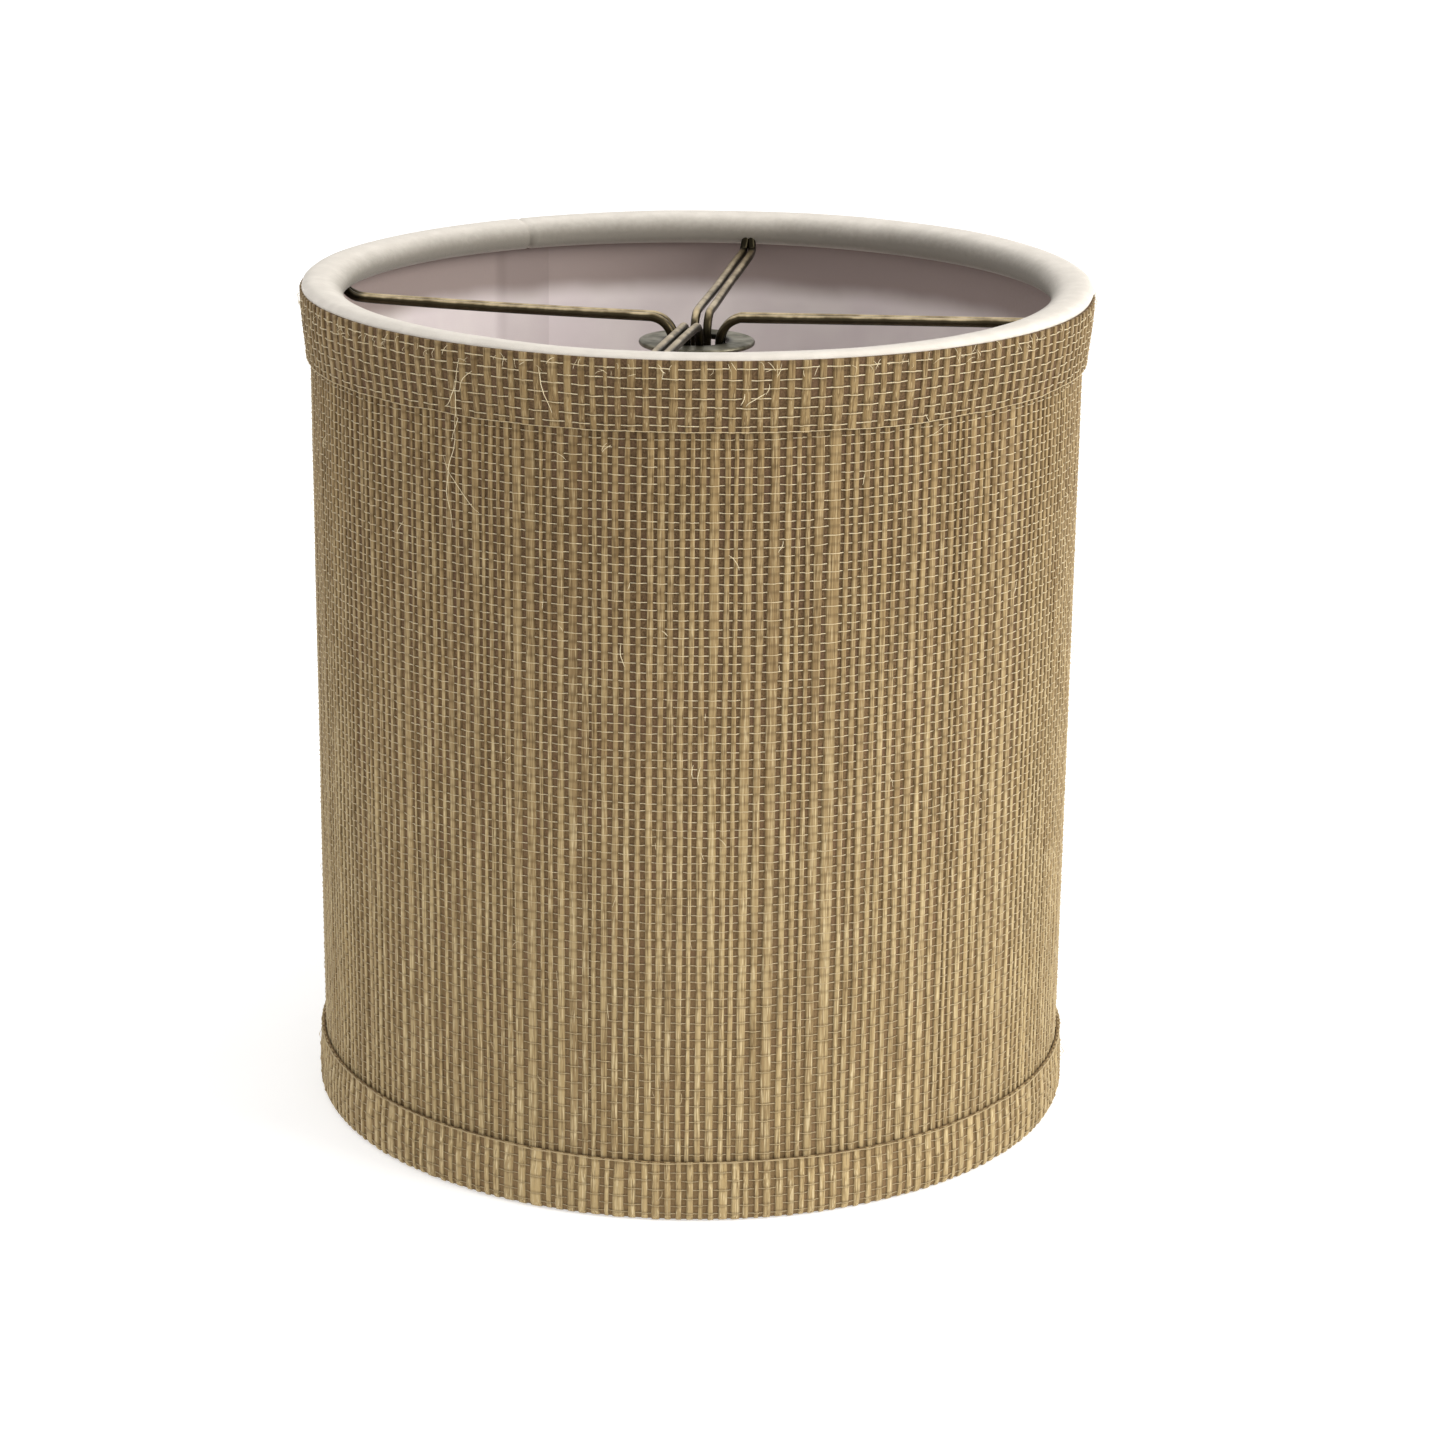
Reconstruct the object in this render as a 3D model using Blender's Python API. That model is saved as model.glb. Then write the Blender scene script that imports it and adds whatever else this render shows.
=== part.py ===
"""Small drum lamp shade with a spring bulb clip.

Metres, +Z up. The origin is the centre of the lower rim, on the surface that the shade stands on.
The four wires of the fitter lie along +X, +Y, -X and -Y.
"""

import math

import bmesh
import bpy
from mathutils import Matrix, Vector

MM = 0.001

# Drum: a nominal 6 x 6 x 6.5 inch shade
DRUM_R = 76.2            # outer face of the cloth
CLOTH_T = 0.6
GAP = 0.3                # glue line between two faces
LINER_T = 0.6
EDGE_Z = 164.6           # where the trim band ends at the top
WALL_LOW, WALL_HIGH = 1.8, 163.4
TURN_STEPS = 48

# Tape rolled over the two rings
TAPE_T = 0.5
TAPE_LEG_R = DRUM_R + GAP + TAPE_T / 2
CROWN_Z = 167.4
TAPE_INNER_R = 69.5

# Trim bands
TRIM_T = 0.6
TRIM_LOW_R = DRUM_R + GAP + TRIM_T / 2
TRIM_HIGH_R = TAPE_LEG_R + TAPE_T / 2 + GAP + TRIM_T / 2
TOP_TRIM_Z = 152.1
BOTTOM_TRIM_Z = 11.5

# Rings
RING_WIRE_R = 1.6
RING_R = 72.4
TOP_RING_Z = 163.9
BOTTOM_RING_Z = 2.9

# Fitter and clip
WIRE_R = 0.9
PAIR_HALF = 1.0          # half the pitch of an arm's two legs
NECK_R = 4.7             # where the legs drop through the washer
BEND_R = 4.5
ARM_Z = 158.2
ARM_END_Z = 159.9
NECK_Z = 150.0
HINGE_GAP = 0.3
WASHER_Z = 153.1
WASHER_T = 1.0
WASHER_R = 11.5
WASHER_HOLE_R = 6.1
LOOP_LOW_Z = 106.0
LOOP_WIDE = 14.0
LOOP_BULGE_R = 13.5
LOOP_TIP_R = 11.9

SIDES = ("right", "back", "left", "front")

for old in list(bpy.data.objects):
    bpy.data.objects.remove(old, do_unlink=True)


def material(name, colour, roughness, metallic=0.0):
    made = bpy.data.materials.new(name)
    made.use_nodes = True
    shader = made.node_tree.nodes["Principled BSDF"]
    shader.inputs["Base Color"].default_value = (*colour, 1.0)
    shader.inputs["Roughness"].default_value = roughness
    shader.inputs["Metallic"].default_value = metallic
    made.diffuse_color = (*colour, 1.0)
    return made


GRASSCLOTH = material("grasscloth", (0.36, 0.26, 0.14), 0.85)
TRIM_CLOTH = material("trim_cloth", (0.42, 0.31, 0.17), 0.85)
TAPE = material("cotton_tape", (0.82, 0.77, 0.70), 0.9)
STYRENE = material("styrene", (0.56, 0.50, 0.50), 0.55)
RING_STEEL = material("ring_steel", (0.30, 0.28, 0.25), 0.45, 1.0)
ANTIQUE_BRASS = material("antique_brass", (0.34, 0.28, 0.19), 0.38, 1.0)
WASHER_STEEL = material("washer_steel", (0.36, 0.37, 0.31), 0.42, 1.0)


def put(name, mesh, finish):
    mesh.materials.append(finish)
    made = bpy.data.objects.new(name, mesh)
    bpy.context.scene.collection.objects.link(made)
    return made


def turned(name, profile, finish, steps=TURN_STEPS, sharp_deg=40):
    """A closed (radius, height) profile in mm, spun round the Z axis."""
    bm = bmesh.new()
    points = [bm.verts.new((r * MM, 0, z * MM)) for r, z in profile]
    edges = [bm.edges.new((a, b)) for a, b in zip(points, points[1:] + points[:1])]
    bmesh.ops.spin(
        bm,
        geom=points + edges,
        cent=(0, 0, 0),
        axis=(0, 0, 1),
        dvec=(0, 0, 0),
        angle=2 * math.pi,
        steps=steps,
        use_merge=True,
    )
    bmesh.ops.remove_doubles(bm, verts=bm.verts, dist=1e-6)
    bmesh.ops.recalc_face_normals(bm, faces=bm.faces)
    mesh = bpy.data.meshes.new(name)
    bm.to_mesh(mesh)
    bm.free()
    mesh.shade_smooth()
    mesh.set_sharp_from_angle(angle=math.radians(sharp_deg))
    return put(name, mesh, finish)


def strip(path, thickness):
    """The closed outline of a folded strip: its middle line, moved half a thickness to each side."""
    left, right = [], []
    for i, (r, z) in enumerate(path):
        before = Vector(path[max(i - 1, 0)])
        after = Vector(path[min(i + 1, len(path) - 1)])
        here = Vector((r, z))
        first = (here - before).normalized() if i else (after - here).normalized()
        last = (after - here).normalized() if i < len(path) - 1 else first
        middle = (first + last).normalized()
        normal = Vector((-middle.y, middle.x))
        reach = thickness / 2 / max(0.5, normal.dot(Vector((-first.y, first.x))))
        left.append(tuple(here + normal * reach))
        right.append(tuple(here - normal * reach))
    return left + right[::-1]


def wall(r_out, thickness, z_low, z_high):
    return [
        (r_out - thickness, z_low),
        (r_out, z_low),
        (r_out, z_high),
        (r_out - thickness, z_high),
    ]


def round_section(r, z, radius, sides=8):
    turn = 2 * math.pi / sides
    return [
        (r + radius * math.cos(turn * (i + 0.5)), z + radius * math.sin(turn * (i + 0.5)))
        for i in range(sides)
    ]


# The drum's wall: cloth outside, styrene inside
turned("grasscloth_cover", wall(DRUM_R, CLOTH_T, WALL_LOW, WALL_HIGH), GRASSCLOTH)
turned(
    "styrene_liner",
    wall(DRUM_R - CLOTH_T - GAP, LINER_T, WALL_LOW, WALL_HIGH),
    STYRENE,
)

# Wire hoops
turned("top_ring", round_section(RING_R, TOP_RING_Z, RING_WIRE_R), RING_STEEL)
turned("bottom_ring", round_section(RING_R, BOTTOM_RING_Z, RING_WIRE_R), RING_STEEL)

# White tape: down the outside under the trim, over the edge, and round the inside of the ring
crown = CROWN_Z - TAPE_T / 2
inner = TAPE_INNER_R + TAPE_T / 2
turned(
    "top_binding",
    strip(
        [
            (TAPE_LEG_R, 157.4),
            (TAPE_LEG_R, 163.8),
            (TAPE_LEG_R - 0.35, 165.5),
            (TAPE_LEG_R - 1.2, crown - 0.45),
            (TAPE_LEG_R - 2.6, crown),
            (72.2, crown - 0.5),
            (inner + 0.75, crown - 1.7),
            (inner, crown - 3.3),
            (inner + 0.1, crown - 4.2),
            (inner + 0.75, crown - 5.1),
        ],
        TAPE_T,
    ),
    TAPE,
)
turned(
    "bottom_binding",
    strip(
        [
            (TAPE_LEG_R, 7.0),
            (TAPE_LEG_R, 2.2),
            (TAPE_LEG_R - 0.3, 1.1),
            (TAPE_LEG_R - 0.95, 0.45),
            (TAPE_LEG_R - 1.75, TAPE_T / 2),
            (72.3, TAPE_T / 2),
            (inner + 0.8, 0.75),
            (inner + 0.1, 2.0),
            (inner + 0.1, 3.4),
            (inner + 0.75, 4.7),
        ],
        TAPE_T,
    ),
    TAPE,
)

# Trim bands: flat on the cloth at one edge, standing off over the tape at the other
turned(
    "top_trim_band",
    strip(
        [
            (TRIM_LOW_R, TOP_TRIM_Z),
            (TRIM_LOW_R + 0.1, 154.6),
            (TRIM_HIGH_R - 0.15, 156.6),
            (TRIM_HIGH_R + 0.1, 158.2),
            (TRIM_HIGH_R + 0.15, 162.2),
            (TRIM_HIGH_R, EDGE_Z),
        ],
        TRIM_T,
    ),
    TRIM_CLOTH,
)
turned(
    "bottom_trim_band",
    strip(
        [
            (TRIM_LOW_R, BOTTOM_TRIM_Z),
            (TRIM_LOW_R + 0.1, 9.4),
            (TRIM_HIGH_R - 0.15, 7.8),
            (TRIM_HIGH_R + 0.1, 6.4),
            (TRIM_HIGH_R + 0.1, 2.4),
            (TRIM_HIGH_R - 0.1, 0.75),
        ],
        TRIM_T,
    ),
    TRIM_CLOTH,
)


def wire(name, points, finish):
    """A round wire along points in metres, with closed ends."""
    curve = bpy.data.curves.new(name, "CURVE")
    curve.dimensions = "3D"
    curve.bevel_depth = WIRE_R * MM
    curve.bevel_resolution = 2
    curve.use_fill_caps = True
    spline = curve.splines.new("POLY")
    spline.points.add(len(points) - 1)
    for point, place in zip(spline.points, points):
        point.co = (*place, 1.0)
    spline.use_smooth = True
    curve.materials.append(finish)
    made = bpy.data.objects.new(name, curve)
    bpy.context.scene.collection.objects.link(made)
    return made


def both_legs(leg, tip):
    """One leg's points at +side, the turn, and the same leg back at -side, in (radial, side, height) mm."""
    return leg + tip + [(u, -side, z) for u, side, z in reversed(leg)]


def arm_points():
    """From the neck up through the washer, out to the ring, round, and back down beside it."""
    leg = [(NECK_R, PAIR_HALF, NECK_Z), (NECK_R, PAIR_HALF, 152.2)]
    bend = (NECK_R + BEND_R, ARM_Z - BEND_R)
    for i in range(6):
        turn = math.radians(90 * i / 5)
        leg.append(
            (
                bend[0] - BEND_R * math.cos(turn),
                PAIR_HALF,
                bend[1] + BEND_R * math.sin(turn),
            )
        )
    for share in (0.35, 0.7, 1.0):
        leg.append(
            (
                bend[0] + (67.5 - bend[0]) * share,
                PAIR_HALF,
                ARM_Z + (ARM_END_Z - ARM_Z) * share,
            )
        )
    leg += [(69.4, PAIR_HALF, ARM_END_Z + 0.1), (70.7, PAIR_HALF, ARM_END_Z + 0.5)]
    tip = []
    for i in range(1, 6):
        turn = math.radians(180 * i / 6)
        out = PAIR_HALF * math.sin(turn)
        tip.append(
            (
                70.9 + out * 0.9,
                PAIR_HALF * math.cos(turn),
                ARM_END_Z + 0.58 + out * 0.45,
            )
        )
    return both_legs(leg, tip)


def loop_radius(z):
    """How far out the loop's wire lies at height z: it flares below the neck, then leans back in."""
    top = NECK_Z - HINGE_GAP
    down = (top - z) / (top - LOOP_LOW_Z)
    if down < 0.55:
        x = down / 0.55
        return NECK_R + (LOOP_BULGE_R - NECK_R) * (3 * x * x - 2 * x**3)
    return LOOP_BULGE_R - (LOOP_BULGE_R - LOOP_TIP_R) * ((down - 0.55) / 0.45) ** 2


def loop_points(count=34):
    """A teardrop seen from the side of the bulb, bent to follow loop_radius."""
    top = NECK_Z - HINGE_GAP
    points = []
    for i in range(count + 1):
        turn = 2 * math.pi * i / count
        z = top - (top - LOOP_LOW_Z) * (1 - math.cos(turn)) / 2
        half = abs(math.sin(turn / 2))
        side = math.sin(turn) * LOOP_WIDE * half**1.5
        neck = PAIR_HALF * math.cos(turn / 2) ** 2
        side += neck if turn < math.pi else -neck
        points.append((loop_radius(z), side, z))
    return points


ARM_POINTS = arm_points()
LOOP_POINTS = loop_points()

for quarter, side_name in enumerate(SIDES):
    spun = Matrix.Rotation(math.radians(90 * quarter), 4, "Z")
    places = [spun @ (Vector(p) * MM) for p in ARM_POINTS]
    wire(f"fitter_arm_{side_name}", places, ANTIQUE_BRASS)

    # The loop turns on the line where its two legs leave the neck
    pivot = spun @ Vector((NECK_R * MM, 0, (NECK_Z - HINGE_GAP / 2) * MM))
    loop = wire(
        f"clip_loop_{side_name}",
        [spun @ (Vector(p) * MM) - pivot for p in LOOP_POINTS],
        ANTIQUE_BRASS,
    )
    loop.location = pivot

# Washer: a flat stamping with its edges broken
EDGE = 0.2
turned(
    "clip_washer",
    [
        (WASHER_HOLE_R, WASHER_Z),
        (WASHER_R - EDGE, WASHER_Z),
        (WASHER_R, WASHER_Z + EDGE),
        (WASHER_R, WASHER_Z + WASHER_T - EDGE),
        (WASHER_R - EDGE, WASHER_Z + WASHER_T),
        (WASHER_HOLE_R, WASHER_Z + WASHER_T),
    ],
    WASHER_STEEL,
    steps=32,
    sharp_deg=30,
)

bpy.context.view_layer.update()
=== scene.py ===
import math

import bpy
import numpy as np
from mathutils import Matrix, Vector


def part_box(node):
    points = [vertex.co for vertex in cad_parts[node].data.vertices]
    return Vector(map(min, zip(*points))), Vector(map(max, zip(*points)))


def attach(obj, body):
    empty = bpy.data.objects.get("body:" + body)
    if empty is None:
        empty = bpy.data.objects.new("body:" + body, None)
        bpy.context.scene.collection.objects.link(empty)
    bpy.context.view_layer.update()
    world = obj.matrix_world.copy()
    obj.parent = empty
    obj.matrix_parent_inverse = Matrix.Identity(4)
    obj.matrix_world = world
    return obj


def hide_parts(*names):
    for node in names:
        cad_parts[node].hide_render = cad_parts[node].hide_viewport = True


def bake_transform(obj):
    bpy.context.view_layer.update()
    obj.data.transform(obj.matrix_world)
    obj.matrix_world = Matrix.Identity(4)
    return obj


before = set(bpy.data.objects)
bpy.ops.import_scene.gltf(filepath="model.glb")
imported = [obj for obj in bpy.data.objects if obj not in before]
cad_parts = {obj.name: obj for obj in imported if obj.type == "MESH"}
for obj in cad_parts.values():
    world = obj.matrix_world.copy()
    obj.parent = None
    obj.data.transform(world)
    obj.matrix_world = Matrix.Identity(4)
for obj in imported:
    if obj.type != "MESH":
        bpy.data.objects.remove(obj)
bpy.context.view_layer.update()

MM = 0.001
TAU = 2 * math.pi


def cad(node):
    """Lowest and highest corner of a CAD node, in mm."""
    low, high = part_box(node)
    return np.array(low) / MM, np.array(high) / MM


# ---------------------------------------------------------------- sizes, read from the CAD
CLOTH_R = cad("grasscloth_cover")[1][0] - 0.2    # the faces of the reeds, the threads lie over them
WALL_Z = (cad("grasscloth_cover")[0][2], cad("grasscloth_cover")[1][2])
LINER_R = cad("styrene_liner")[1][0]
TOP_TRIM_Z = (cad("top_trim_band")[0][2], cad("top_trim_band")[1][2])
LOW_TRIM_Z = (cad("bottom_trim_band")[0][2], cad("bottom_trim_band")[1][2])
TRIM_R = cad("top_trim_band")[1][0]
CROWN_Z = cad("top_binding")[1][2]
RING_Z = (cad("top_ring")[0][2] + cad("top_ring")[1][2]) / 2
LOW_RING_Z = (cad("bottom_ring")[0][2] + cad("bottom_ring")[1][2]) / 2
RING_WIRE_R = (cad("top_ring")[1][2] - cad("top_ring")[0][2]) / 2
RING_R = cad("top_ring")[1][0] - RING_WIRE_R
NECK_Z = cad("fitter_arm_right")[0][2]
WASHER = cad("clip_washer")
REED_H = 0.42
ROW_PITCH = 1.66                                   # from one thread to the next
PAPER_R = CLOTH_R - REED_H
SEAM = math.radians(124.6)                        # where the drum's sheets lap
TAPE_SEAM = math.radians(130.0)


# ---------------------------------------------------------------- small tools
def knots(rng, curves, count, samples, closed=False):
    """Smooth random curves from -1 to 1, one a row."""
    values = rng.uniform(-1, 1, (curves, count))
    at = np.linspace(0, count if closed else count - 1, samples, endpoint=not closed)
    low = np.floor(at).astype(int)
    part = at - low
    part = part * part * (3 - 2 * part)
    if closed:
        a, b = values[:, low % count], values[:, (low + 1) % count]
    else:
        a, b = values[:, np.minimum(low, count - 1)], values[:, np.minimum(low + 1, count - 1)]
    return a + (b - a) * part


def polar(radius, angle, z):
    return np.stack([radius * np.cos(angle), radius * np.sin(angle), z + 0 * angle], -1)


def grid_faces(rows, cols, start=0, wrap_cols=False, wrap_rows=False):
    index = start + np.arange(rows * cols).reshape(rows, cols)
    down = np.roll(index, -1, 0) if wrap_rows else None
    a = index if wrap_rows else index[:-1]
    b = down if wrap_rows else index[1:]
    if wrap_cols:
        a2, b2 = np.roll(a, -1, 1), np.roll(b, -1, 1)
    else:
        a, a2, b, b2 = a[:, :-1], a[:, 1:], b[:, :-1], b[:, 1:]
    return np.stack([a, a2, b2, b], -1).reshape(-1, 4)


def build(name, points, quads, finish, attributes=None, smooth=True, sharp=None):
    """A mesh object from points in mm and four-cornered faces."""
    points = np.asarray(points, np.float32).reshape(-1, 3) * MM
    quads = np.asarray(quads, np.int32)
    mesh = bpy.data.meshes.new(name)
    mesh.vertices.add(len(points))
    mesh.vertices.foreach_set("co", points.ravel())
    mesh.loops.add(quads.size)
    mesh.loops.foreach_set("vertex_index", quads.ravel())
    mesh.polygons.add(len(quads))
    mesh.polygons.foreach_set("loop_start", np.arange(0, quads.size, 4, dtype=np.int32))
    mesh.update(calc_edges=True)
    for key, values in (attributes or {}).items():
        values = np.asarray(values, np.float32)
        if values.ndim == 1 or values.shape[-1] != 3:
            made = mesh.attributes.new(key, "FLOAT", "POINT")
            made.data.foreach_set("value", values.ravel())
        else:
            made = mesh.attributes.new(key, "FLOAT_VECTOR", "POINT")
            made.data.foreach_set("vector", values.ravel())
    mesh.validate()
    if smooth:
        mesh.shade_smooth()
        if sharp:
            mesh.set_sharp_from_angle(angle=math.radians(sharp))
    mesh.materials.append(finish)
    made = bpy.data.objects.new(name, mesh)
    bpy.context.scene.collection.objects.link(made)
    return made


# ---------------------------------------------------------------- materials
class Tree:
    """Short names for the nodes of one material."""

    def __init__(self, name):
        self.material = bpy.data.materials.new(name)
        self.material.use_nodes = True
        self.nt = self.material.node_tree
        self.nt.nodes.clear()
        self.out = self.nt.nodes.new("ShaderNodeOutputMaterial")

    def node(self, kind, inputs=None, **settings):
        made = self.nt.nodes.new(kind)
        for key, value in settings.items():
            setattr(made, key, value)
        for key, value in (inputs or {}).items():
            self.put(made.inputs[key], value)
        return made

    def put(self, socket, value):
        if isinstance(value, bpy.types.NodeSocket):
            self.nt.links.new(value, socket)
        elif isinstance(value, bpy.types.Node):
            self.nt.links.new(value.outputs[0], socket)
        elif socket.type == "RGBA" and len(value) == 3:
            socket.default_value = (*value, 1.0)
        else:
            socket.default_value = value

    def attribute(self, name, vector=False):
        made = self.node("ShaderNodeAttribute", attribute_name=name)
        return made.outputs["Vector" if vector else "Fac"]

    def place(self):
        return self.node("ShaderNodeTexCoord").outputs["Object"]

    def scaled(self, vector, scale):
        return self.node(
            "ShaderNodeVectorMath", {0: vector, 1: scale}, operation="MULTIPLY"
        ).outputs[0]

    def noise(self, vector, scale=1.0, detail=2.0, rough=0.5, distortion=0.0):
        return self.node(
            "ShaderNodeTexNoise",
            {
                "Vector": vector,
                "Scale": scale,
                "Detail": detail,
                "Roughness": rough,
                "Distortion": distortion,
            },
        ).outputs["Fac"]

    def wave(self, vector, scale, direction="X", distortion=0.0):
        return self.node(
            "ShaderNodeTexWave",
            {"Vector": vector, "Scale": scale, "Distortion": distortion},
            bands_direction=direction,
        ).outputs["Fac"]

    def ramp(self, value, low, high, to_low=0.0, to_high=1.0, smooth=True):
        return self.node(
            "ShaderNodeMapRange",
            {
                "Value": value,
                "From Min": low,
                "From Max": high,
                "To Min": to_low,
                "To Max": to_high,
            },
            interpolation_type="SMOOTHSTEP" if smooth else "LINEAR",
        ).outputs[0]

    def mix(self, share, a, b, blend="MIX"):
        made = self.node("ShaderNodeMix", data_type="RGBA", blend_type=blend)
        self.put(made.inputs[0], share)
        self.put(made.inputs[6], a)
        self.put(made.inputs[7], b)
        return made.outputs[2]

    def maths(self, operation, a, b=0.0):
        made = self.node("ShaderNodeMath", operation=operation)
        self.put(made.inputs[0], a)
        self.put(made.inputs[1], b)
        return made.outputs[0]

    def bump(self, height, strength, distance, normal=None):
        made = self.node(
            "ShaderNodeBump",
            {"Height": height, "Strength": strength, "Distance": distance},
        )
        if normal is not None:
            self.put(made.inputs["Normal"], normal)
        return made.outputs[0]

    def principled(self, **inputs):
        return self.node(
            "ShaderNodeBsdfPrincipled",
            {key.replace("_", " "): value for key, value in inputs.items()},
        )

    def finish(self, surface):
        self.put(self.out.inputs["Surface"], surface)
        return self.material


def srgb(r, g, b):
    """A colour given as 0 to 255, in the linear values that a shader takes."""
    return tuple(
        (c / 255 / 12.92) if c / 255 <= 0.04045 else ((c / 255 + 0.055) / 1.055) ** 2.4
        for c in (r, g, b)
    )


def reed_material(name, lift=1.0):
    """Split plant reed: each has its own tan, with fibres and blotches along it."""
    t = Tree(name)

    def tan(r, g, b):
        return tuple(c * lift for c in srgb(r, g, b))

    place = t.place()
    height = t.node("ShaderNodeSeparateXYZ", {0: place}).outputs[2]
    fibre = t.noise(t.scaled(place, (3000, 3000, 95)), 1.0, 3.0, 0.65)
    hair = t.noise(t.scaled(place, (4300, 4300, 170)), 1.0, 2.0, 0.6)
    streak = t.noise(t.scaled(place, (1500, 1500, 40)), 1.0, 3.0, 0.6)
    blotch = t.noise(t.scaled(place, (420, 420, 90)), 1.0, 3.0, 0.55)
    tone = t.attribute("tone")
    colour = t.mix(
        t.ramp(tone, 0.0, 1.0, smooth=False), tan(140, 117, 80), tan(172, 149, 106)
    )
    colour = t.mix(t.ramp(streak, 0.40, 0.60, 0.0, 0.60), colour, tan(186, 165, 122))
    colour = t.mix(t.ramp(blotch, 0.54, 0.74, 0.0, 0.55), colour, tan(138, 116, 78))
    colour = t.mix(t.ramp(fibre, 0.52, 0.63, 0.0, 0.74), colour, tan(110, 89, 57))
    colour = t.mix(t.ramp(hair, 0.54, 0.65, 0.0, 0.72), colour, tan(210, 192, 152))
    edge = t.maths("ADD", t.attribute("edge"), t.ramp(streak, 0.3, 0.7, -0.15, 0.25))
    colour = t.mix(t.ramp(edge, 0.60, 1.1, 0.0, 0.6), colour, tan(98, 79, 50))
    # painted shade: the reeds are darker towards the top of the drum and lighter towards its foot
    level = t.maths("ADD", height, t.ramp(blotch, 0.2, 0.8, -0.02, 0.02, smooth=False))
    colour = t.mix(t.ramp(level, 0.02, 0.165), colour, (0.65, 0.595, 0.52), "MULTIPLY")
    # pressed in wherever a thread goes over, with a painted shadow darkening the reed at each crossing
    row = t.maths("SUBTRACT", t.maths("DIVIDE", height, ROW_PITCH * MM), t.attribute("beat"))
    bound = t.ramp(t.maths("PINGPONG", row, 1.0), 0.0, 0.34, 1.0, 0.0)
    colour = t.mix(t.maths("MULTIPLY", bound, 0.62), colour, (0.66, 0.63, 0.58), "MULTIPLY")
    normal = t.bump(fibre, 0.7, 0.00014)
    normal = t.bump(streak, 0.5, 0.0003, normal)
    normal = t.bump(t.maths("SUBTRACT", 1.0, bound), 0.8, 0.00022, normal)
    rough = t.ramp(fibre, 0.3, 0.8, 0.62, 0.9)
    return t.finish(
        t.principled(
            Base_Color=colour,
            Roughness=rough,
            Normal=normal,
            Specular_IOR_Level=0.22,
            Sheen_Weight=0.05,
            Sheen_Roughness=0.5,
        )
    )


def paper_material(name):
    """The brown paper that the reeds are glued on, with painted light towards the foot of the drum and painted shade
    towards the top.
    """
    t = Tree(name)
    place = t.place()
    height = t.node("ShaderNodeSeparateXYZ", {0: place}).outputs[2]
    fine = t.noise(t.scaled(place, (2600, 2600, 2600)), 1.0, 3.0, 0.65)
    broad = t.noise(t.scaled(place, (190, 190, 190)), 1.0, 2.0, 0.5)
    colour = t.mix(t.ramp(fine, 0.3, 0.75), srgb(84, 65, 42), srgb(124, 100, 71))
    colour = t.mix(t.ramp(broad, 0.4, 0.75, 0.0, 0.6), colour, srgb(112, 86, 66))
    level = t.maths("ADD", height, t.ramp(broad, 0.2, 0.8, -0.02, 0.02, smooth=False))
    # painted light lower down and painted shade higher up on the drum
    colour = t.mix(t.ramp(level, 0.105, 0.005, 0.0, 0.50), colour, srgb(140, 117, 82))
    colour = t.mix(t.ramp(level, 0.095, 0.130), colour, (0.76, 0.76, 0.78), "MULTIPLY")
    return t.finish(
        t.principled(
            Base_Color=colour,
            Roughness=t.ramp(fine, 0.2, 0.8, 0.8, 0.98),
            Normal=t.bump(fine, 0.5, 0.0002),
            Specular_IOR_Level=0.15,
        )
    )


def thread_material(name):
    """Thin cream warp thread, with painted shade that makes it duller lower down the drum."""
    t = Tree(name)
    place = t.place()
    height = t.node("ShaderNodeSeparateXYZ", {0: place}).outputs[2]
    twist = t.noise(t.scaled(place, (5200, 5200, 9000)), 1.0, 2.0, 0.6)
    broad = t.noise(t.scaled(place, (300, 300, 600)), 1.0, 2.0, 0.5)
    colour = t.mix(t.ramp(twist, 0.3, 0.7), srgb(204, 186, 146), srgb(240, 226, 192))
    colour = t.mix(t.ramp(broad, 0.5, 0.8, 0.0, 0.6), colour, srgb(176, 154, 112))
    level = t.maths("ADD", height, t.ramp(broad, 0.2, 0.8, -0.02, 0.02, smooth=False))
    # painted shade: duller lower down the drum
    colour = t.mix(t.ramp(level, 0.110, 0.015, 0.0, 0.66), colour, srgb(158, 136, 96))
    colour = t.mix(t.ramp(t.attribute("top"), 0.0, 1.0, 0.0, 0.50), colour, srgb(176, 154, 113))
    return t.finish(
        t.principled(
            Base_Color=colour,
            Roughness=t.ramp(twist, 0.2, 0.8, 0.55, 0.8),
            Normal=t.bump(twist, 0.4, 0.0001),
            Specular_IOR_Level=0.3,
            Sheen_Weight=0.12,
        )
    )


def tape_material(name):
    """Off-white cotton tape: a fine diagonal weave, with painted shade where it turns under."""
    t = Tree(name)
    cloth = t.attribute("cloth", vector=True)
    along = t.wave(t.scaled(cloth, (1.9, 1.9, 1.0)), 1.0, "DIAGONAL", 0.6)
    across = t.wave(t.scaled(cloth, (1.9, -1.9, 1.0)), 1.0, "DIAGONAL", 0.6)
    weave = t.maths("MULTIPLY", along, across)
    place = t.place()
    soft = t.noise(t.scaled(place, (240, 240, 240)), 1.0, 3.0, 0.55)
    fuzz = t.noise(t.scaled(place, (900, 900, 900)), 1.0, 3.0, 0.6)
    colour = t.mix(t.ramp(soft, 0.35, 0.7), srgb(211, 204, 194), srgb(220, 213, 203))
    colour = t.mix(t.ramp(weave, 0.0, 0.6, 0.16, 0.0), colour, srgb(176, 167, 152))
    # painted shade where the tape turns under the roll
    under = t.attribute("under")
    under = t.maths("ADD", under, t.ramp(fuzz, 0.25, 0.75, -0.05, 0.05, smooth=False))
    colour = t.mix(t.ramp(under, 0.0, 1.0, 0.0, 0.92), colour, srgb(118, 113, 103))
    normal = t.bump(weave, 0.45, 0.00009)
    normal = t.bump(fuzz, 0.25, 0.00025, normal)
    return t.finish(
        t.principled(
            Base_Color=colour,
            Roughness=t.ramp(weave, 0.0, 1.0, 0.95, 0.82),
            Normal=normal,
            Specular_IOR_Level=0.12,
            Sheen_Weight=0.12,
            Sheen_Roughness=0.6,
        )
    )


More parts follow.
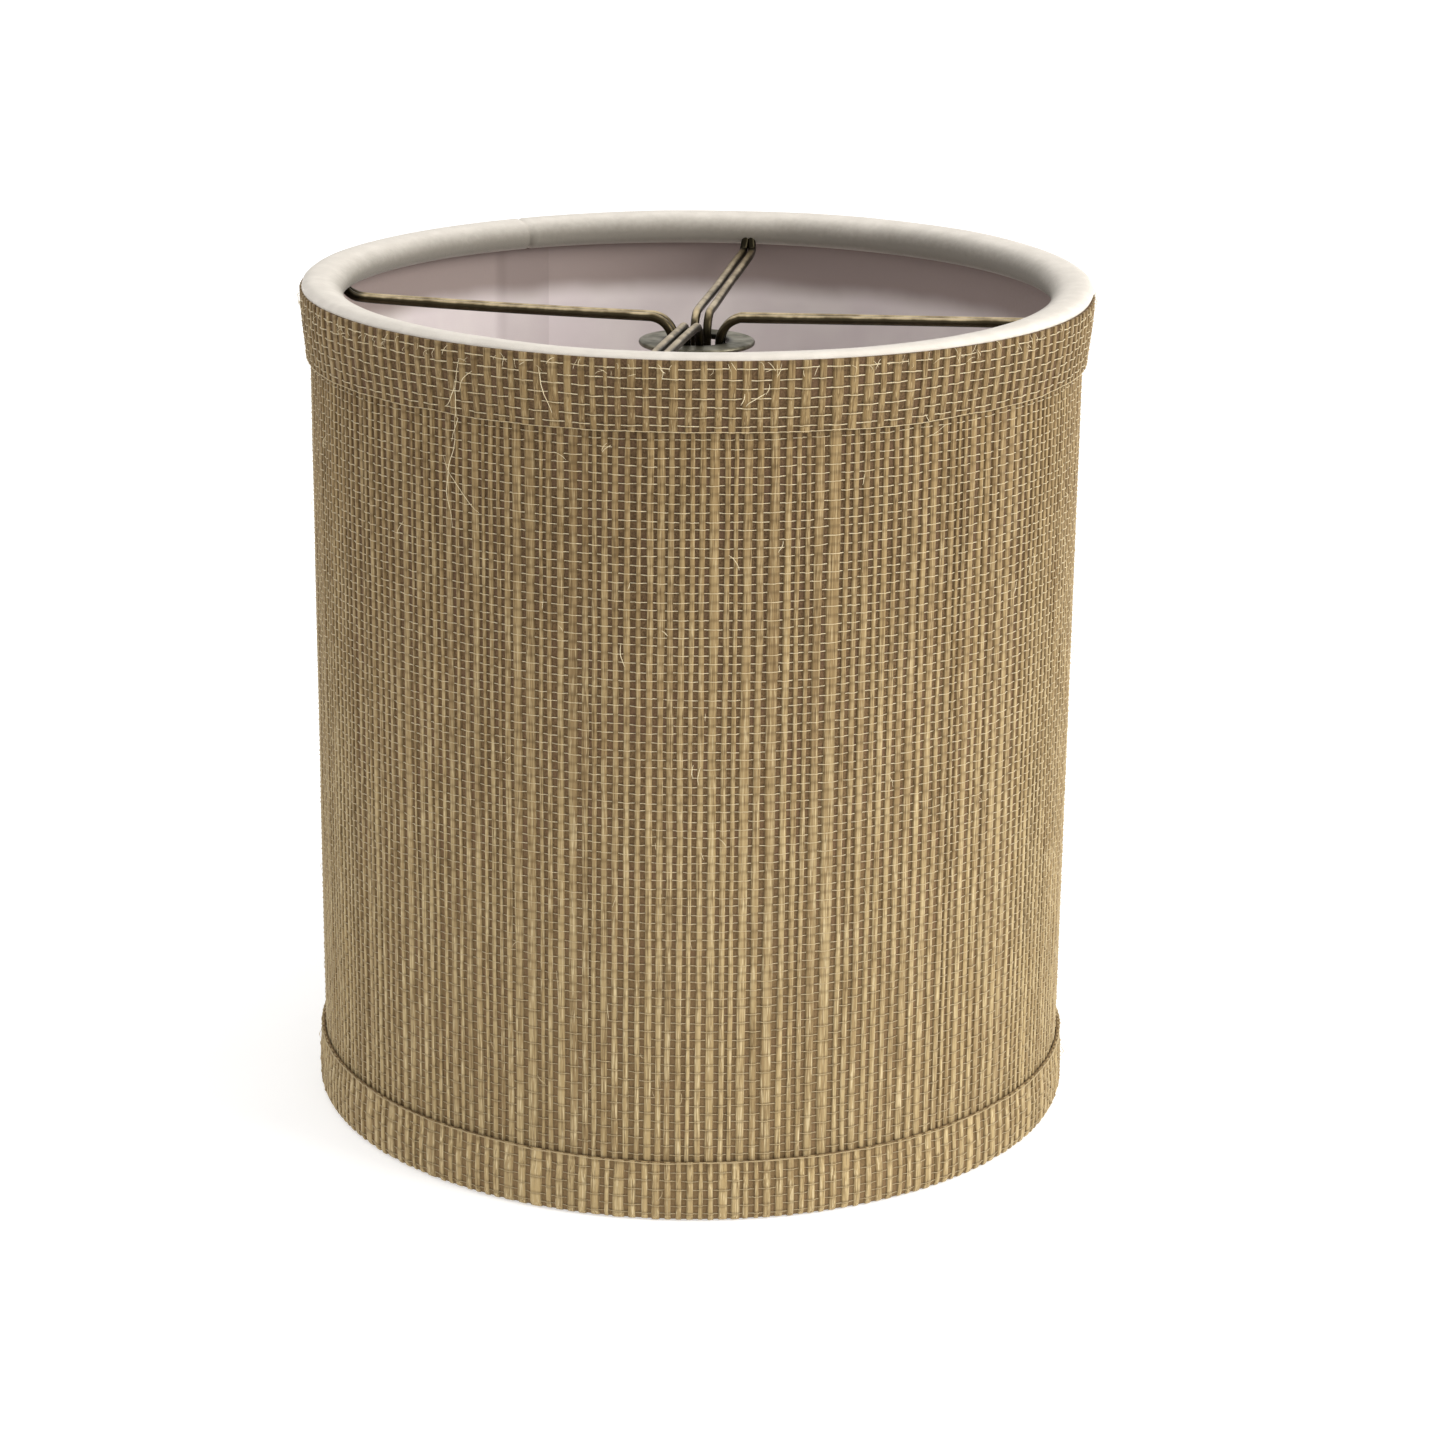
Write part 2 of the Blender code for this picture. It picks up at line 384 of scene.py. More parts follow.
def liner_material(name):
    """Smooth styrene. Light comes through it, less where rings, tape and trim lie behind it."""
    t = Tree(name)
    place = t.place()
    height = t.node("ShaderNodeSeparateXYZ", {0: place}).outputs[2]
    mottle = t.noise(t.scaled(place, (60, 60, 40)), 1.0, 3.0, 0.5)
    grain = t.noise(t.scaled(place, (1800, 1800, 1800)), 1.0, 2.0, 0.6)
    colour = t.mix(t.ramp(mottle, 0.3, 0.7), srgb(214, 203, 203), srgb(226, 218, 214))
    wobble = t.ramp(mottle, 0.2, 0.8, -0.0012, 0.0012, smooth=False)
    level = t.maths("ADD", height, wobble)
    # painted shade: darker above the top band's lower edge, where band, tape and ring keep back the light that comes
    # through
    painted_trim_shade = t.ramp(level, TOP_TRIM_Z[0] * MM - 0.0035, TOP_TRIM_Z[0] * MM + 0.0020)
    colour = t.mix(painted_trim_shade, colour, srgb(145, 131, 126))
    # painted shade: darker where the sheet laps over itself and lets less light through
    lap = t.attribute("lap")
    colour = t.mix(t.ramp(lap, 0.0, 1.0), colour, (0.87, 0.86, 0.86), "MULTIPLY")
    return t.finish(
        t.principled(
            Base_Color=colour,
            Roughness=t.ramp(grain, 0.2, 0.8, 0.42, 0.6),
            Normal=t.bump(grain, 0.12, 0.0001),
            Specular_IOR_Level=0.35,
        )
    )


def metal_material(name, dark, bright, rough, speck, painted_underside_shade=0.0):
    """Plated wire or stamping. With the last argument set, it gets painted shade on every side that does not face
    straight up, so it is lighter only along the top.
    """
    t = Tree(name)
    place = t.place()
    cloud = t.noise(t.scaled(place, (260, 260, 260)), 1.0, 3.0, 0.55)
    fine = t.noise(t.scaled(place, (2400, 2400, 2400)), 1.0, 3.0, 0.65)
    colour = t.mix(t.ramp(cloud, 0.3, 0.72), dark, bright)
    colour = t.mix(t.ramp(fine, 0.62, 0.8, 0.0, speck), colour, tuple(c * 0.4 for c in dark))
    if painted_underside_shade:
        # painted shade: every side that does not face straight up is darkened, leaving the top lighter
        facing = t.node("ShaderNodeSeparateXYZ", {0: t.node("ShaderNodeNewGeometry").outputs["Normal"]})
        level = t.maths("ADD", facing.outputs[2], t.ramp(cloud, 0.2, 0.8, -0.16, 0.16, smooth=False))
        colour = t.mix(t.ramp(level, 0.96, 0.50, 0.0, painted_underside_shade), colour, srgb(40, 35, 23))
        # painted shade along the wires' tips, their necks in the washer's hole, and round that hole
        colour = t.mix(t.ramp(t.attribute("painted_shade"), 0.0, 1.0, 0.0, 0.9), colour, srgb(30, 27, 19))
    return t.finish(
        t.principled(
            Base_Color=colour,
            Metallic=1.0,
            Roughness=t.ramp(cloud, 0.25, 0.75, rough + 0.08, rough - 0.05),
            Normal=t.bump(fine, 0.10, 0.00006),
        )
    )


REED = reed_material("reed")
REED_TOP = reed_material("top_trim_reed", 0.94)
REED_LOW = reed_material("low_trim_reed", 1.04)
PAPER = paper_material("brown_paper")
THREAD = thread_material("cream_thread")
COTTON = tape_material("cotton_tape")
LINER = liner_material("styrene_sheet")
BRASS = metal_material("antique_brass", srgb(158, 140, 108), srgb(204, 185, 149), 0.33, 0.35, 0.93)
STEEL = metal_material("ring_steel", srgb(84, 80, 74), srgb(136, 130, 120), 0.45, 0.5)
PLATE = metal_material("washer_plate", srgb(108, 104, 88), srgb(156, 150, 132), 0.42, 0.35, 0.5)


# ---------------------------------------------------------------- woven grasscloth
def reed_layout(rng, length, pitch, gap, gap_spread, widest, spread):
    """Left edge and width of each reed along a cloth of this length."""
    count = int(round(length / pitch))
    count += count % 2
    width = np.clip(rng.lognormal(math.log(pitch - gap), spread, count), 0.55, widest)
    width *= 1 + 0.5 * spread * knots(rng, 1, 14, count)[0]
    gaps = np.clip(rng.normal(gap, gap_spread, count), gap * 0.62, gap * 1.6)
    scale = (length - gaps.sum()) / width.sum()
    width *= scale
    left = np.concatenate([[0], np.cumsum(width + gaps)[:-1]])
    return left, width


def grasscloth(
    name,
    outer,
    z_low,
    z_high,
    pitch,
    gap,
    seam,
    seed,
    reed_finish,
    z_steps,
    row_pitch=ROW_PITCH,
    lap=9.0,
    height=REED_H,
    widest=2.4,
    thread_r=0.105,
    thread_groups=1,
    sag=1.0,
    edge_low=False,
    edge_high=False,
    paper_t=0.30,
    gap_spread=0.12,
    spread=0.24,
    shift=None,
):
    """Reeds side by side on a paper back, held by thin threads that go over one and under the next.
    outer(z) is the radius of the reeds' faces. The cloth starts at seam and laps over itself."""
    rng = np.random.default_rng(seed)
    around = TAU * (CLOTH_R - height)
    length = around + lap
    left, width = reed_layout(rng, length, pitch, gap, gap_spread, widest, spread)
    count = len(left)
    layer = height + paper_t + 0.25

    def lift(s):
        t = np.clip((s - around + 3.0) / 3.0, 0, 1)
        return layer * t * t * (3 - 2 * t)

    def face(s, z, above):
        radius = outer(z) - height + lift(s) + above
        angle = seam + s / (CLOTH_R - height)
        return polar(radius, angle, z if shift is None else z + shift(angle, z))

    zs = np.linspace(z_low, z_high, z_steps)

    # paper back, a closed thin sheet
    cols = 420
    ss = np.linspace(0, length, cols)
    grid_s, grid_z = np.meshgrid(ss, zs)
    front = face(grid_s, grid_z, 0.0)
    back = face(grid_s, grid_z, -paper_t)
    loop = np.concatenate([front, back[:, ::-1]], 1)
    caps_low = np.stack([front[0], back[0]], 0)
    caps_high = np.stack([back[-1], front[-1]], 0)
    points = [loop.reshape(-1, 3), caps_low.reshape(-1, 3), caps_high.reshape(-1, 3)]
    quads = [
        grid_faces(len(zs), 2 * cols, 0, wrap_cols=True),
        grid_faces(2, cols, loop.shape[0] * loop.shape[1])[:, ::-1],
        grid_faces(2, cols, loop.shape[0] * loop.shape[1] + 2 * cols)[:, ::-1],
    ]
    paper = build(
        name + "_paper", np.concatenate(points), np.concatenate(quads), PAPER, sharp=50
    )

    # reeds
    across = np.array([-0.5, -0.46, -0.30, 0.0, 0.30, 0.46, 0.5])
    rise = np.array([0.0, 0.62, 0.95, 1.0, 0.95, 0.62, 0.0])
    long = max(int((z_high - z_low) / 24), 1) + 2
    short = max(int((z_high - z_low) / 7), 1) + 2
    swell = 1 + 0.13 * knots(rng, count, long, z_steps) + 0.06 * knots(rng, count, short, z_steps)
    drift = 0.10 * knots(rng, count, long, z_steps) + 0.035 * knots(rng, count, short, z_steps)
    frayed = 0.055 * knots(rng, 2 * count, z_steps // 2, z_steps).reshape(2, count, z_steps)
    if z_high - z_low < 30:
        swell = 1 + (swell - 1) * 0.6
        drift = drift * 0.35 + rng.uniform(-0.08, 0.08, count)[:, None] * np.linspace(-1, 1, z_steps)
    wide = width[:, None] * swell
    middle = left[:, None] + width[:, None] / 2 + drift
    tall = rng.uniform(0.72, 1.0, count)[:, None] * (1 + 0.10 * knots(rng, count, 18, z_steps))
    lean = rng.uniform(-0.12, 0.12, count)
    s = middle[:, :, None] + wide[:, :, None] * across
    s[..., :2] += frayed[0][..., None]
    s[..., -2:] += frayed[1][..., None]
    up = height * tall[:, :, None] * rise * (1 + lean[:, None, None] * across * 2) + 0.01
    z = np.broadcast_to(zs[None, :, None], s.shape).copy()
    # cut ends close down onto the paper
    s = np.concatenate([s[:, :1], s, s[:, -1:]], 1)
    z = np.concatenate([z[:, :1] - 0.02, z, z[:, -1:] + 0.02], 1)
    flat = np.full_like(up[:, :1], -0.05)
    up = np.concatenate([flat, up, flat], 1)
    ragged = rng.uniform(-0.07, 0.07, (count, 2))
    z[:, :2] += ragged[:, 0, None, None]
    z[:, -2:] += ragged[:, 1, None, None]
    shape = s.shape
    points = face(s.ravel(), z.ravel(), up.ravel())
    one = grid_faces(shape[1], shape[2])
    step = shape[1] * shape[2]
    quads = (one[None] + (np.arange(count) * step)[:, None, None]).reshape(-1, 4)
    tone = np.clip(rng.normal(0.5, 0.27, count), 0, 1)
    tone = np.broadcast_to(tone[:, None, None], shape)
    edge = np.broadcast_to(np.abs(across) * 2, shape)
    first_row = (z_low + 0.75 * row_pitch) / row_pitch
    beat = first_row + (np.arange(count) % 2)            # even reeds lie under the even rows' threads
    beat = np.broadcast_to(beat[:, None, None], shape)
    reeds = build(
        name + "_reeds",
        points,
        quads,
        reed_finish,
        {"tone": tone, "edge": edge, "beat": beat},
        sharp=60,
    )

    # threads
    def thread_rows(row_z, over_all=False, radius=thread_r, proud=0.0):
        rows = len(row_z)
        mid_z = np.clip((row_z - z_low) / max(z_high - z_low, 1e-6), 0, 1) * (z_steps - 1)
        at = np.round(mid_z).astype(int)
        w, m = wide[:, at].T, middle[:, at].T               # rows x reeds
        h = (height * tall[:, at]).T
        over_s = np.stack(
            [m - w / 2 - 0.16, m - w * 0.36, m, m + w * 0.36, m + w / 2 + 0.16], -1
        )
        foot = h * (0.9 if over_all else 0.5)
        over_u = np.stack(
            [foot, h + radius * 0.1, h + radius * 0.5, h + radius * 0.1, foot], -1
        )
        under_s = np.stack([m - w / 2 + 0.05, m + w / 2 - 0.05], -1)
        under_u = np.full_like(under_s, 0.12)
        meshes, faces, tops, start = [], [], [], 0
        for k in range(rows):
            if over_all:
                ps, pu = over_s[k].reshape(-1), over_u[k].reshape(-1) + proud
                top = np.ones(len(ps))
            else:
                first = k % 2
                over_i = np.arange(first, count, 2)
                under_i = np.arange(1 - first, count, 2)
                allp = np.concatenate([over_s[k, over_i].ravel(), under_s[k, under_i].ravel()])
                allu = np.concatenate([over_u[k, over_i].ravel(), under_u[k, under_i].ravel()])
                order = np.argsort(allp, kind="stable")
                ps, pu = allp[order], allu[order]
                top = np.concatenate([np.tile([0, 1.0, 1.0, 1.0, 0], len(over_i)), np.zeros(2 * len(under_i))])
                top = top[order]
            wander = 0.16 * np.interp(
                ps, np.linspace(-2, length + 2, 90), knots(rng, 1, 90, 90)[0]
            ) + rng.normal(0, 0.022, len(ps))
            pz = row_z[k] + wander
            ring = np.array([[0.0, 1.0], [-0.87, -0.55], [0.87, -0.55]])   # height, outwards
            fat = radius * (1 + 0.18 * rng.standard_normal(len(ps)).clip(-1, 1))
            rs = np.repeat(ps, 3)
            rz = (pz[:, None] + fat[:, None] * ring[:, 0]).ravel()
            ru = (pu[:, None] + fat[:, None] * ring[:, 1]).ravel()
            meshes.append(face(rs, rz, ru))
            faces.append(grid_faces(len(ps), 3, start, wrap_cols=True))
            tops.append(np.repeat(top, 3))
            start += 3 * len(ps)
        return meshes, faces, tops

    rows = np.arange(z_low + 0.75 * row_pitch, z_high - 0.4 * row_pitch, row_pitch)
    rows = rows + rng.normal(0, 0.05, len(rows))
    threads = []
    for g, chunk in enumerate(np.array_split(rows, thread_groups)):
        meshes, faces, tops = thread_rows(chunk)
        if g == 0 and edge_low:
            more, more_faces, more_tops = thread_rows(np.array([z_low + 0.12]), True, radius=0.10, proud=0.0)
            shift = sum(len(m) for m in meshes)
            meshes += more
            tops += more_tops
            faces += [f + shift for f in more_faces]
        if g == thread_groups - 1 and edge_high:
            more, more_faces, more_tops = thread_rows(np.array([z_high - 0.12]), True, radius=0.14, proud=0.02)
            shift = sum(len(m) for m in meshes)
            meshes += more
            tops += more_tops
            faces += [f + shift for f in more_faces]
        label = f"{name}_threads" + (f"_{g + 1}" if thread_groups > 1 else "")
        threads.append(
            build(
                label,
                np.concatenate(meshes),
                np.concatenate(faces),
                THREAD,
                {"top": np.concatenate(tops)},
            )
        )
    return paper, reeds, threads, (length, z_high - z_low)


def body_face(z):
    z = np.asarray(z, float)
    return CLOTH_R + 0 * z


def top_trim_face(z):
    """The band lies on the cloth at its lower edge and leans out over the tape above."""
    z = np.asarray(z, float)
    low = CLOTH_R + 0.85
    t = np.clip((z - TOP_TRIM_Z[0]) / (TOP_TRIM_Z[1] - TOP_TRIM_Z[0]), 0, 1.1)
    return low + (TRIM_R - 0.2 - low) * np.sin(t * math.pi / 2) ** 1.2


def top_trim_shift(angle, z):
    """The strip is put on by hand: its upper edge runs a little higher on the left and in front."""
    share = np.clip((z - TOP_TRIM_Z[0]) / (TOP_TRIM_Z[1] - TOP_TRIM_Z[0]), 0, 1)
    upper = 0.30 - 0.30 * np.cos(angle) - 0.35 * np.sin(angle)
    lower = 0.12 * np.sin(3 * angle + 1.0) + 0.07 * np.sin(8 * angle)
    return upper * share**2 + lower * (1 - share)


def low_trim_face(z):
    z = np.asarray(z, float)
    high = CLOTH_R + 0.85
    t = np.clip((LOW_TRIM_Z[1] - z) / 6.0, 0, 1)
    bulge = high + 0.38 * t * t * (3 - 2 * t)
    u = np.clip((1.5 - z) / 1.4, 0, 1)
    return bulge - 0.45 * u * u


def low_trim_shift(angle, z):
    share = np.clip((z - LOW_TRIM_Z[0]) / (LOW_TRIM_Z[1] - LOW_TRIM_Z[0]), 0, 1)
    return share * (0.12 * np.sin(2 * angle + 0.6) + 0.06 * np.sin(9 * angle))


cover = grasscloth(
    "cover",
    body_face,
    WALL_Z[0],
    WALL_Z[1],
    pitch=1.97,
    gap=0.74,
    seam=SEAM,
    seed=11,
    reed_finish=REED,
    z_steps=62,
    thread_groups=4,
)
top_trim = grasscloth(
    "top_trim",
    top_trim_face,
    TOP_TRIM_Z[0],
    TOP_TRIM_Z[1] + 0.1,
    pitch=2.6,
    gap=1.12,
    seam=TAPE_SEAM,
    seed=23,
    reed_finish=REED_TOP,
    z_steps=14,
    lap=8.0,
    thread_r=0.12,
    edge_low=True,
    spread=0.15,
    widest=2.1,
    shift=top_trim_shift,
)
low_trim = grasscloth(
    "low_trim",
    low_trim_face,
    0.12,
    LOW_TRIM_Z[1] + 0.35,
    pitch=2.35,
    gap=0.86,
    seam=TAPE_SEAM + 0.2,
    seed=37,
    reed_finish=REED_LOW,
    z_steps=14,
    lap=8.0,
    thread_r=0.10,
    edge_high=True,
    spread=0.26,
    shift=low_trim_shift,
)


# ---------------------------------------------------------------- cotton tape rolled over the rings
def smooth_path(points, count):
    """Evenly spaced points on a smooth curve through these, and the length so far at each."""
    p = np.asarray(points, float)
    dense = []
    for i in range(len(p) - 1):
        a, b = p[max(i - 1, 0)], p[i]
        c, d = p[i + 1], p[min(i + 2, len(p) - 1)]
        t = np.linspace(0, 1, 24, endpoint=False)[:, None]
        dense.append(
            0.5
            * (
                2 * b
                + (c - a) * t
                + (2 * a - 5 * b + 4 * c - d) * t**2
                + (3 * b - a - 3 * c + d) * t**3
            )
        )
    dense = np.concatenate(dense + [p[-1:]])
    run = np.concatenate([[0], np.cumsum(np.linalg.norm(np.diff(dense, axis=0), axis=1))])
    at = np.linspace(0, run[-1], count)
    return np.stack([np.interp(at, run, dense[:, k]) for k in range(dense.shape[1])], -1), at


def tape(
    name, path, seam, seed, thick=0.55, steps=720, lap=7.0, ripple=0.10, under=(0.6, 0.8), drop=None
):
    """A folded strip of cloth following path (radius, height), all the way round with a lap."""
    rng = np.random.default_rng(seed)
    line, run = smooth_path(path, 40)
    tangent = np.gradient(line, axis=0)
    tangent /= np.linalg.norm(tangent, axis=1)[:, None]
    normal = np.stack([-tangent[:, 1], tangent[:, 0]], -1)      # outwards from the fold
    radius_mid = line[:, 0].mean()
    around = TAU * radius_mid
    ss = np.linspace(0, around + lap, steps)
    t = np.clip((ss - around + 1.6) / 1.6, 0, 1)
    lift = (thick + 0.05) * t * t * (3 - 2 * t)
    broad = knots(rng, 5, 26, steps)
    small = knots(rng, 40, 170, steps)
    share = run / run[-1]
    puff = np.zeros((steps, len(share)))
    for k in range(5):
        puff += broad[k][:, None] * np.sin(math.pi * (k + 1) * share)[None] / (k + 1.4)
    kernel = np.ones(7) / 7
    small = np.apply_along_axis(lambda v: np.convolve(v, kernel, "same"), 0, small).T
    bend = ripple * (1.1 * puff + 0.35 * small) * (np.sin(math.pi * share) * np.clip((share - 0.3) * 8, 0, 1))[None]
    offset = lift[:, None] + bend
    ends = np.clip(np.minimum(share, 1 - share) * 18, 0.25, 1)
    half = thick / 2 * np.sqrt(ends)[None]
    angle = seam + ss / radius_mid

    def side(sign):
        push = offset + sign * half
        r = line[None, :, 0] + normal[None, :, 0] * push
        z = line[None, :, 1] + normal[None, :, 1] * push
        if drop:
            r, z = drop(angle[:, None], r, z)
        return np.stack(
            [r * np.cos(angle)[:, None], r * np.sin(angle)[:, None], z], -1
        )

    outer, inner = side(1), side(-1)
    ring = np.concatenate([outer, inner[:, ::-1]], 1)
    quads = grid_faces(steps, ring.shape[1], wrap_cols=True)
    n = ring.shape[0] * ring.shape[1]
    half_n = len(share)
    ends_quads = []
    for row, flip in ((0, False), (steps - 1, True)):
        base = row * ring.shape[1]
        a = base + np.arange(half_n - 1)
        b = base + 2 * half_n - 1 - np.arange(half_n - 1)
        q = np.stack([a, b, b - 1, a + 1], -1)
        ends_quads.append(q[:, ::-1] if flip else q)
    cloth = np.zeros((steps, ring.shape[1], 3))
    cloth[..., 0] = ss[:, None]
    both = np.concatenate([run, run[::-1]])
    cloth[..., 1] = both[None]
    shares = np.concatenate([share, share[::-1]])
    # painted shade where the tape turns under, ramping in between the two shares given
    edge = np.clip((shares - under[0]) / (under[1] - under[0]), 0, 1)
    edge = edge * (1 - 0.75 * np.clip((shares - under[1] - 0.03) / 0.10, 0, 1))     # the painted shade fades again below the ring
    sway = 0.06 * knots(rng, 1, 40, steps)[0]
    under = np.clip(edge[None] + sway[:, None] * (edge[None] > 0), 0, 1)
    return build(
        name,
        ring,
        np.concatenate([quads] + ends_quads),
        COTTON,
        {"cloth": cloth.reshape(-1, 3), "under": under.reshape(-1)},
        sharp=70,
    ), run[-1], around + lap


LEG_R = CLOTH_R + 0.5


def crown_drop(angle, r, z):
    """The roll is pulled flatter at the front, and its shoulder lies over the trim's edge elsewhere."""
    t = np.clip((z - 161.5) / 5.0, 0, 1)
    pull = 0.42 - 0.05 * np.cos(angle) - 0.80 * np.sin(angle) - 0.26 * np.sin(2 * angle)
    front = ((1 - np.sin(angle)) / 2) ** 3
    pinch = 0.75 * front * np.clip((r - 75.5) / 1.2, 0, 1) * np.clip((z - 164.2) / 1.2, 0, 1)
    return r - pinch, z - pull * t * t * (3 - 2 * t)


top_tape, top_tape_w, top_tape_l = tape(
    "top_tape",
    [
        (LEG_R, 157.6),
        (LEG_R, 161.0),
        (LEG_R + 0.12, 163.4),
        (LEG_R + 0.30, 164.9),
        (LEG_R + 0.82, 166.05),
        (LEG_R + 0.25, CROWN_Z - 0.52),
        (LEG_R - 1.4, CROWN_Z - 0.22),
        (72.7, CROWN_Z - 0.45),
        (70.8, CROWN_Z - 1.20),
        (69.75, CROWN_Z - 2.4),
        (69.65, CROWN_Z - 3.6),
        (70.1, CROWN_Z - 4.8),
        (71.2, CROWN_Z - 5.6),
        (72.5, CROWN_Z - 5.85),
        (73.8, CROWN_Z - 5.8),
    ],
    TAPE_SEAM,
    5,
    under=(0.567, 0.79),
    drop=crown_drop,
)
low_tape, low_tape_w, low_tape_l = tape(
    "low_tape",
    [
        (CLOTH_R + 0.22, 7.2),
        (CLOTH_R + 0.16, 2.4),
        (CLOTH_R - 0.35, 1.10),
        (CLOTH_R - 1.4, 0.58),
        (74.0, 0.54),
        (72.2, 0.56),
        (70.6, 1.1),
        (69.85, 2.5),
        (70.0, 3.8),
        (70.9, 5.2),
        (72.3, 5.7),
        (73.8, 5.7),
    ],
    TAPE_SEAM + 0.2,
    6,
    thick=0.36,
    ripple=0.05,
    under=(0.64, 0.86),
)


# ---------------------------------------------------------------- styrene liner, a rolled sheet with a glued lap
def liner():
    lap, steps = 11.0, 400
    r = LINER_R - 0.12
    around = TAU * r
    ss = np.linspace(0, around + lap, steps)
    zs = np.linspace(WALL_Z[0], WALL_Z[1], 40)
    rng = np.random.default_rng(3)
    t = np.clip((ss - around + 1.2) / 1.2, 0, 1)
    inward = 0.5 * t * t * (3 - 2 * t)
    wave = 0.10 * knots(rng, 1, 12, steps)[0]
    thick = 0.30
    angle = SEAM + (lap - ss) / r
    fade = np.clip((ss - around + 2) / 2, 0, 1)

    def sheet(extra):
        radius = (r - inward - wave - extra)[None, :] + 0 * zs[:, None]
        return polar(radius, angle[None, :] + 0 * zs[:, None], zs[:, None])

    front, back = sheet(thick), sheet(0.0)
    loop = np.concatenate([front, back[:, ::-1]], 1)
    n = loop.shape[0] * loop.shape[1]
    low = np.stack([front[0], back[0]], 0)
    high = np.stack([back[-1], front[-1]], 0)
    lap_at = np.concatenate([fade, fade[::-1]])
    lap_all = np.concatenate(
        [np.broadcast_to(lap_at, loop.shape[:2]).ravel(), np.tile(fade, 2), np.tile(fade, 2)]
    )
    quads = [
        grid_faces(len(zs), 2 * steps, 0, wrap_cols=True),
        grid_faces(2, steps, n)[:, ::-1],
        grid_faces(2, steps, n + 2 * steps)[:, ::-1],
    ]
    made = build(
        "liner_sheet",
        np.concatenate([loop.reshape(-1, 3), low.reshape(-1, 3), high.reshape(-1, 3)]),
        np.concatenate(quads),
        LINER,
        {"lap": lap_all},
        sharp=50,
    )
    return made, (around + lap, WALL_Z[1] - WALL_Z[0])


liner_sheet, liner_flat = liner()


# ---------------------------------------------------------------- wires
def tube(name, path, radius, finish, sides=18, closed=False, painted_shade=None):
    """A round wire along path, with domed ends."""
    p = np.asarray(path, float)
    if closed:
        tangent = np.roll(p, -1, 0) - np.roll(p, 1, 0)
    else:
        tangent = np.gradient(p, axis=0)
    tangent /= np.linalg.norm(tangent, axis=1)[:, None]
    side = np.cross(tangent[0], (0.31, 0.17, 0.93))
    side /= np.linalg.norm(side)
    frames = []
    for k in range(len(p)):
        side = side - tangent[k] * side.dot(tangent[k])
        side /= np.linalg.norm(side)
        frames.append((side, np.cross(tangent[k], side)))
    size = np.full(len(p), radius)
    if not closed:
        ends = []
        for share in (0.0, 0.35, 0.7, 0.92):
            ends.append((share, math.sqrt(1 - (1 - share) ** 2)))
        p = np.concatenate(
            [
                [p[0] - tangent[0] * radius * (1 - sh) for sh, _ in ends],
                p,
                [p[-1] + tangent[-1] * radius * (1 - sh) for sh, _ in ends[::-1]],
            ]
        )
        size = np.concatenate(
            [[radius * max(q, 0.02) for _, q in ends], size, [radius * max(q, 0.02) for _, q in ends[::-1]]]
        )
        frames = [frames[0]] * len(ends) + frames + [frames[-1]] * len(ends)
    turn = TAU * np.arange(sides) / sides
    rings = np.stack(
        [
            p[k] + size[k] * (np.cos(turn)[:, None] * frames[k][0] + np.sin(turn)[:, None] * frames[k][1])
            for k in range(len(p))
        ]
    )
    quads = grid_faces(len(p), sides, wrap_cols=True, wrap_rows=closed)
    if closed:
        # the frame may come round turned, so the last strip is matched to the nearest corner
        last = (len(p) - 1) * sides
        gap = np.linalg.norm(rings[-1][0] - rings[0], axis=1)
        shift = int(gap.argmin())
        a = last + np.arange(sides)
        b = (np.arange(sides) + shift) % sides
        quads[-sides:] = np.stack([a, np.roll(a, -1), np.roll(b, -1), b], -1)
    attributes = None
    if painted_shade is not None:
        painted_shade = np.concatenate([[painted_shade[0]] * 4, painted_shade, [painted_shade[-1]] * 4])
        attributes = {"painted_shade": np.repeat(painted_shade, sides)}
    return build(name, rings, quads, finish, attributes)


def hoop(name, radius, z, wire_r, finish):
    turn = TAU * np.arange(240) / 240
    return tube(name, polar(np.full(240, radius), turn, np.full(240, z)), wire_r, finish, 14, True)


top_hoop = hoop("top_hoop", RING_R, RING_Z, RING_WIRE_R, STEEL)
low_hoop = hoop("low_hoop", RING_R, LOW_RING_Z, RING_WIRE_R, STEEL)


WIRE_R = 0.86
PAIR = 1.28
NECK_R = 4.7
BEND = 4.5
ARM_Z = 158.2
ARM_END_Z = 159.9
LOOP_TOP = NECK_Z - 0.3
LOOP_LOW, LOOP_WIDE, BULGE_R, TIP_R = cad("clip_loop_right")[0][2] + WIRE_R, 14.0, 13.5, 11.9


def loop_radius(z):
    down = (LOOP_TOP - z) / (LOOP_TOP - LOOP_LOW)
    x = np.clip(down / 0.55, 0, 1)
    flare = NECK_R + (BULGE_R - NECK_R) * (3 * x * x - 2 * x**3)
    lean = np.clip((down - 0.55) / 0.45, 0, 1) ** 2
    return flare - (BULGE_R - TIP_R) * lean


